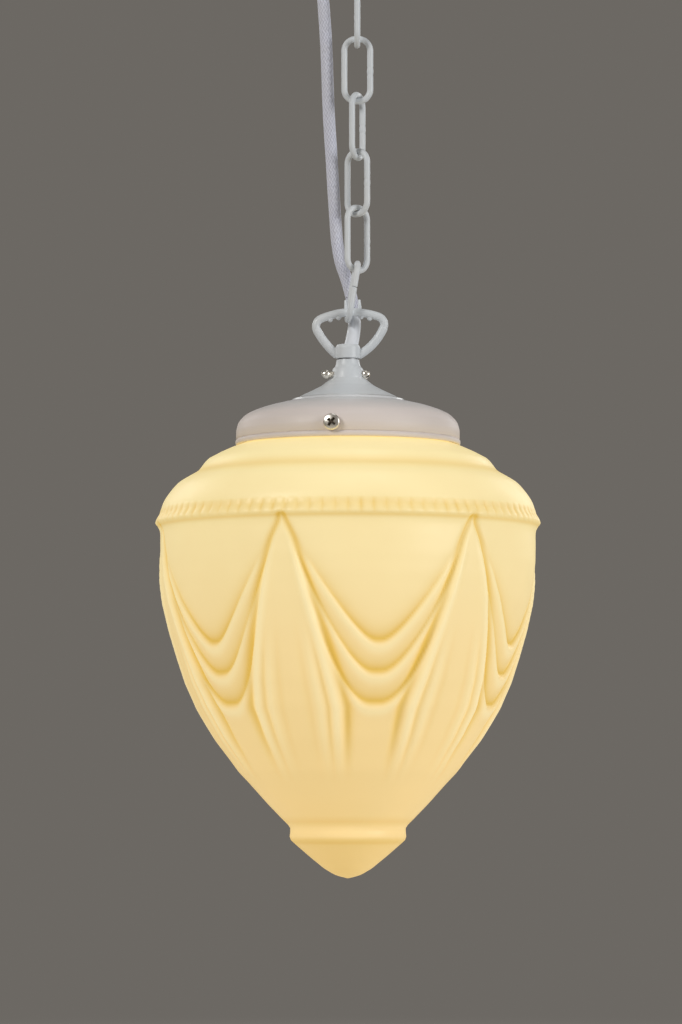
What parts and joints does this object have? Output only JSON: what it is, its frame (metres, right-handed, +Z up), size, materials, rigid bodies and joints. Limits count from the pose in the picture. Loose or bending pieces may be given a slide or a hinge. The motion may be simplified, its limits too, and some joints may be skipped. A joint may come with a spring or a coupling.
{
  "type": "pendant light",
  "caption": "Pendant ceiling light: amber pressed-glass acorn shade in a white spun gallery, hung by a loop on a link chain with a braided flex.",
  "frame": {"origin": "centre of the ceiling plate's upper face, straight above the hook", "axes": "+Z up into the ceiling, -Y the front, +X to the right"},
  "size_m": [0.1886, 0.1886, 0.4841],
  "materials": {
    "zinc_steel": "zinc plated",
    "white_paint": "gloss white paint",
    "gland_plastic": "satin",
    "block_plastic": "satin",
    "brass": "bright",
    "core_plastic": "three cores, brown, blue and green-yellow",
    "core_brown": "smooth PVC",
    "core_blue": "smooth PVC",
    "core_green": "smooth PVC",
    "flex_braid": "pale braided cotton",
    "sleeve_plastic": "smooth sleeve",
    "chrome": "polished",
    "holder_plastic": "moulded",
    "porcelain": "glazed",
    "shade_glass": "pressed amber opal glass",
    "bulb_black": "glass seal",
    "bulb_glass": "clear bulb glass",
    "filament": "lit filaments"
  },
  "bodies": {
    "ceiling_fitting": {"ceiling_plate": "zinc_steel", "ceiling_hook": "white_paint", "hook_nut": "zinc_steel", "ceiling_cup": "white_paint", "cup_nut": "zinc_steel", "cup_gland": "gland_plastic", "terminal_block": "block_plastic", "block_screws": "brass", "cup_cores": "core_plastic"},
    "link_1": {"link_1": "white_paint", "flex_1": "flex_braid"},
    "link_2": {"link_2": "white_paint", "flex_2": "flex_braid"},
    "link_3": {"link_3": "white_paint", "flex_3": "flex_braid"},
    "link_4": {"link_4": "white_paint", "flex_4": "flex_braid"},
    "link_5": {"link_5": "white_paint", "flex_5": "flex_braid"},
    "link_6": {"link_6": "white_paint", "flex_6": "flex_braid"},
    "lamp": {"flex_7": "flex_braid", "flex_sleeve": "sleeve_plastic", "hook_loop": "white_paint", "loop_washer": "zinc_steel", "nipple": "brass", "hub": "white_paint", "neck_screws": "chrome", "gallery": "white_paint", "screw_nuts": "zinc_steel", "earth_tag": "zinc_steel", "lock_nut": "brass", "holder_cap": "holder_plastic", "holder_insert": "porcelain", "holder_thread": "brass", "holder_contact": "brass", "holder_terminals": "brass", "holder_shell": "holder_plastic", "core_live": "core_brown", "core_neutral": "core_blue", "core_earth": "core_green", "glass_shade": "shade_glass"},
    "shade_screw_1": {"shade_screw_1": "chrome"},
    "shade_screw_2": {"shade_screw_2": "chrome"},
    "shade_screw_3": {"shade_screw_3": "chrome"},
    "bulb": {"bulb_cap": "brass", "bulb_insulator": "bulb_black", "bulb_contact": "chrome", "bulb_globe": "bulb_glass", "bulb_stem": "bulb_glass", "bulb_filaments": "filament"}
  },
  "joints": [
    {"name": "link_1_swing", "type": "hinge", "parent": "ceiling_fitting", "child": "link_1", "pos_m": [0, 0, -0.046], "axis": [1, 0, 0], "range_deg": [-15, 15], "deforming": ["flex_1"]},
    {"name": "link_2_swing", "type": "hinge", "parent": "link_1", "child": "link_2", "pos_m": [0, 0, -0.07335], "axis": [0, 1, 0], "range_deg": [-15, 15], "deforming": ["flex_2"]},
    {"name": "link_3_swing", "type": "hinge", "parent": "link_2", "child": "link_3", "pos_m": [0, 0, -0.1014], "axis": [1, 0, 0], "range_deg": [-15, 15], "deforming": ["flex_3"]},
    {"name": "link_4_swing", "type": "hinge", "parent": "link_3", "child": "link_4", "pos_m": [0, 0, -0.12945], "axis": [0.4067, 0.9135, 0], "range_deg": [-15, 15], "deforming": ["flex_4"]},
    {"name": "link_5_swing", "type": "hinge", "parent": "link_4", "child": "link_5", "pos_m": [0, 0, -0.1575], "axis": [0.7547, -0.6561, 0], "range_deg": [-15, 15], "deforming": ["flex_5"]},
    {"name": "link_6_swing", "type": "hinge", "parent": "link_5", "child": "link_6", "pos_m": [0, 0, -0.18555], "axis": [0.7547, 0.6561, 0], "range_deg": [-15, 15], "deforming": ["flex_6"]},
    {"name": "lamp_swing", "type": "hinge", "parent": "link_6", "child": "lamp", "pos_m": [-0.00465, 0, -0.20996], "axis": [-0.086, 0.9962, 0.0144], "range_deg": [-15, 15], "deforming": ["flex_7"]},
    {"name": "shade_screw_1_out", "type": "slide", "parent": "lamp", "child": "shade_screw_1", "axis": [-0.1392, -0.9903, 0], "range_m": [0, 0.006]},
    {"name": "shade_screw_2_out", "type": "slide", "parent": "lamp", "child": "shade_screw_2", "axis": [-0.788, 0.6157, 0], "range_m": [0, 0.006]},
    {"name": "shade_screw_3_out", "type": "slide", "parent": "lamp", "child": "shade_screw_3", "axis": [0.9272, 0.3746, 0], "range_m": [0, 0.006]},
    {"name": "bulb_turn", "type": "hinge", "parent": "lamp", "child": "bulb", "pos_m": [-0.00465, 0, -0.276], "axis": [0, 0, -1], "range_deg": [0, 1800]}
  ]
}
